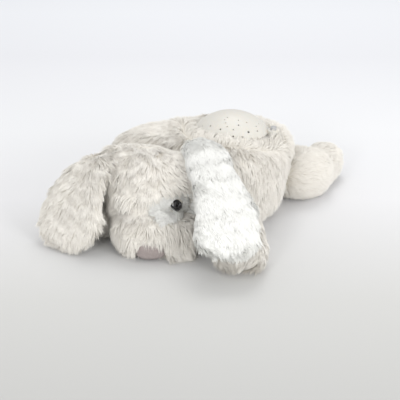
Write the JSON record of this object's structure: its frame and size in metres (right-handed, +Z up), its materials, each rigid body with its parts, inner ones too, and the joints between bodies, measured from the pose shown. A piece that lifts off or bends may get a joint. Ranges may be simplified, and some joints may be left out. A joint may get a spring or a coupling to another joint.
{
  "type": "plush puppy star projector",
  "caption": "Plush puppy lying flat with floppy ears and a perforated star-projector dome in its back, lit by battery lamps in a housing reached through a belly flap.",
  "frame": {"origin": "on the table plane, straight below the projector dome axis, on the belly flap", "axes": "+Z up, +Y towards the tail, +X to the puppy's own left"},
  "size_m": [0.2141, 0.3065, 0.102],
  "materials": {
    "beige_fur": "long silky beige-grey plush pile",
    "dome_plastic": "satin cream moulding",
    "housing_plastic": "satin ivory moulding",
    "lining": "thin woven lining",
    "bright_steel": "bright plated steel",
    "circuit_board": "green solder mask",
    "chip_plastic": "black moulding",
    "button_plastic": "soft grey moulding",
    "lamp_lens": "clear epoxy lens",
    "lead_red": "red wire sleeve",
    "lead_black": "black wire sleeve",
    "battery_wrap": "plain dark sleeve",
    "hook_and_loop": "hook-and-loop tape",
    "nose_velour": "short grey-mauve velour",
    "eye_gloss": "polished black moulded eye",
    "washer_plastic": "natural moulded washer",
    "white_fur": "long white plush pile"
  },
  "bodies": {
    "torso": {"torso": "beige_fur", "star_dome": "dome_plastic", "projector_housing": "housing_plastic", "pocket_lining": "lining", "housing_screw_1": "bright_steel", "housing_screw_2": "bright_steel", "housing_screw_3": "bright_steel", "housing_screw_4": "bright_steel", "switch_board": "circuit_board", "tact_switch": "chip_plastic", "light_board": "circuit_board", "lamp_1": "lamp_lens", "lamp_2": "lamp_lens", "lamp_3": "lamp_lens", "lamp_4": "lamp_lens", "timer_chip": "chip_plastic", "board_screw_1": "bright_steel", "board_screw_2": "bright_steel", "board_screw_3": "bright_steel", "battery_lead_red": "lead_red", "battery_lead_black": "lead_black", "switch_lead": "lead_black", "battery_1": "battery_wrap", "contact_spring_1": "bright_steel", "contact_plate_1": "bright_steel", "battery_2": "battery_wrap", "contact_spring_2": "bright_steel", "contact_plate_2": "bright_steel", "battery_3": "battery_wrap", "contact_spring_3": "bright_steel", "contact_plate_3": "bright_steel", "battery_door": "housing_plastic", "door_screw": "bright_steel", "hook_strip": "hook_and_loop"},
    "head": {"head": "beige_fur", "nose": "nose_velour", "eye_left": "eye_gloss", "eye_washer_left": "washer_plastic", "eye_right": "eye_gloss", "eye_washer_right": "washer_plastic", "eye_patch_left": "white_fur"},
    "ear_left": {"ear_left": "white_fur"},
    "ear_right": {"ear_right": "beige_fur"},
    "foreleg_left": {"foreleg_left": "beige_fur"},
    "foreleg_right": {"foreleg_right": "beige_fur"},
    "hind_leg_left": {"hind_leg_left": "beige_fur"},
    "hind_leg_right": {"hind_leg_right": "beige_fur"},
    "tail": {"tail": "beige_fur"},
    "belly_flap": {"belly_flap": "beige_fur", "loop_strip": "hook_and_loop"},
    "power_button": {"power_button": "button_plastic"}
  },
  "joints": [
    {"name": "head_lift", "type": "hinge", "parent": "torso", "child": "head", "pos_m": [-0.018, -0.06, 0.072], "axis": [-1, 0, 0], "range_deg": [0, 20]},
    {"name": "ear_left_lift", "type": "hinge", "parent": "head", "child": "ear_left", "pos_m": [-0.01825, -0.0614, 0.06472], "axis": [-0.5799, -0.8147, 0], "range_deg": [0, 60]},
    {"name": "ear_right_lift", "type": "hinge", "parent": "head", "child": "ear_right", "pos_m": [-0.06269, -0.10103, 0.07171], "axis": [-0.9583, 0.2857, 0], "range_deg": [0, 60]},
    {"name": "foreleg_left_droop", "type": "hinge", "parent": "torso", "child": "foreleg_left", "pos_m": [0.038, -0.048, 0.002], "axis": [0.8286, 0.5599, 0], "range_deg": [0, 35]},
    {"name": "foreleg_right_droop", "type": "hinge", "parent": "torso", "child": "foreleg_right", "pos_m": [-0.06, -0.048, 0.002], "axis": [0.9881, -0.1537, 0], "range_deg": [0, 35]},
    {"name": "hind_leg_left_droop", "type": "hinge", "parent": "torso", "child": "hind_leg_left", "pos_m": [0.038, 0.034, 0.002], "axis": [-0.9929, 0.1191, 0], "range_deg": [0, 35]},
    {"name": "hind_leg_right_droop", "type": "hinge", "parent": "torso", "child": "hind_leg_right", "pos_m": [-0.038, 0.034, 0.002], "axis": [-0.9929, -0.1191, 0], "range_deg": [0, 35]},
    {"name": "tail_wag", "type": "hinge", "parent": "torso", "child": "tail", "pos_m": [0, 0.078, 0], "axis": [0, 0, 1], "range_deg": [-14, 14]},
    {"name": "belly_flap_open", "type": "hinge", "parent": "torso", "child": "belly_flap", "pos_m": [0, 0.03905, 0], "axis": [1, 0, 0], "range_deg": [0, 100]},
    {"name": "power_button_press", "type": "slide", "parent": "torso", "child": "power_button", "axis": [0, 0, -1], "range_m": [0, 0.0012], "stiffness_N_per_m": 600, "springref_m": -0.001}
  ]
}
